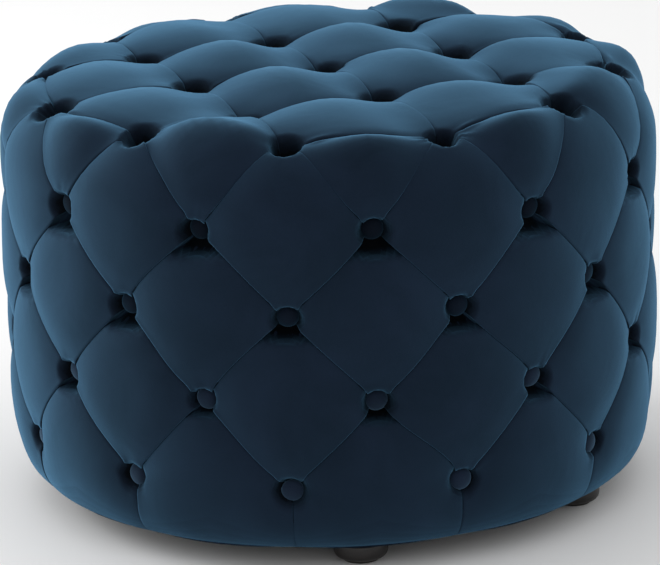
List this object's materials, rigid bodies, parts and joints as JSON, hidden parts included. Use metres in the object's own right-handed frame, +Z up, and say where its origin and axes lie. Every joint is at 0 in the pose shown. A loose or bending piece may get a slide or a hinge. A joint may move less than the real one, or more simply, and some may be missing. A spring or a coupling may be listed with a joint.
{
  "type": "tuffet",
  "caption": "Round low footstool with a diamond-buttoned velvet cover over a foam-padded drum frame, on short round feet.",
  "frame": {"origin": "on the floor, below the centre of the round body", "axes": "+Z up, the body's axis; a rim button lies towards -Y and the nine top buttons stand on lines along X and Y"},
  "size_m": [0.66, 0.66, 0.44],
  "materials": {
    "velvet": "short-pile velvet, soft sheen at grazing angles",
    "foam": "open-cell foam",
    "hardboard": "raw",
    "plywood": "raw",
    "timber": "planed",
    "steel": "zinc plated",
    "dust_cloth": "non-woven, matt",
    "foot_black": "satin black",
    "glide": "matt"
  },
  "bodies": {
    "root": {"velvet_cover": "velvet", "top_foam": "foam", "side_foam": "foam", "side_drum": "hardboard", "deck_panel": "plywood", "base_ring": "plywood", "base_rail_left": "timber", "base_rail_right": "timber", "post_1": "timber", "deck_screw_1": "steel", "base_screw_1": "steel", "post_2": "timber", "deck_screw_2": "steel", "base_screw_2": "steel", "post_3": "timber", "deck_screw_3": "steel", "base_screw_3": "steel", "post_4": "timber", "deck_screw_4": "steel", "base_screw_4": "steel", "post_5": "timber", "deck_screw_5": "steel", "base_screw_5": "steel", "post_6": "timber", "deck_screw_6": "steel", "base_screw_6": "steel", "side_buttons_row_1": "velvet", "side_buttons_row_2": "velvet", "side_buttons_row_3": "velvet", "side_buttons_row_4": "velvet", "rim_buttons": "velvet", "top_buttons": "velvet", "dust_cover": "dust_cloth", "foot_1": "foot_black", "foot_bolt_1": "steel", "tee_nut_1": "steel", "foot_glide_1": "glide", "foot_2": "foot_black", "foot_bolt_2": "steel", "tee_nut_2": "steel", "foot_glide_2": "glide", "foot_3": "foot_black", "foot_bolt_3": "steel", "tee_nut_3": "steel", "foot_glide_3": "glide", "foot_4": "foot_black", "foot_bolt_4": "steel", "tee_nut_4": "steel", "foot_glide_4": "glide"}
  },
  "joints": []
}
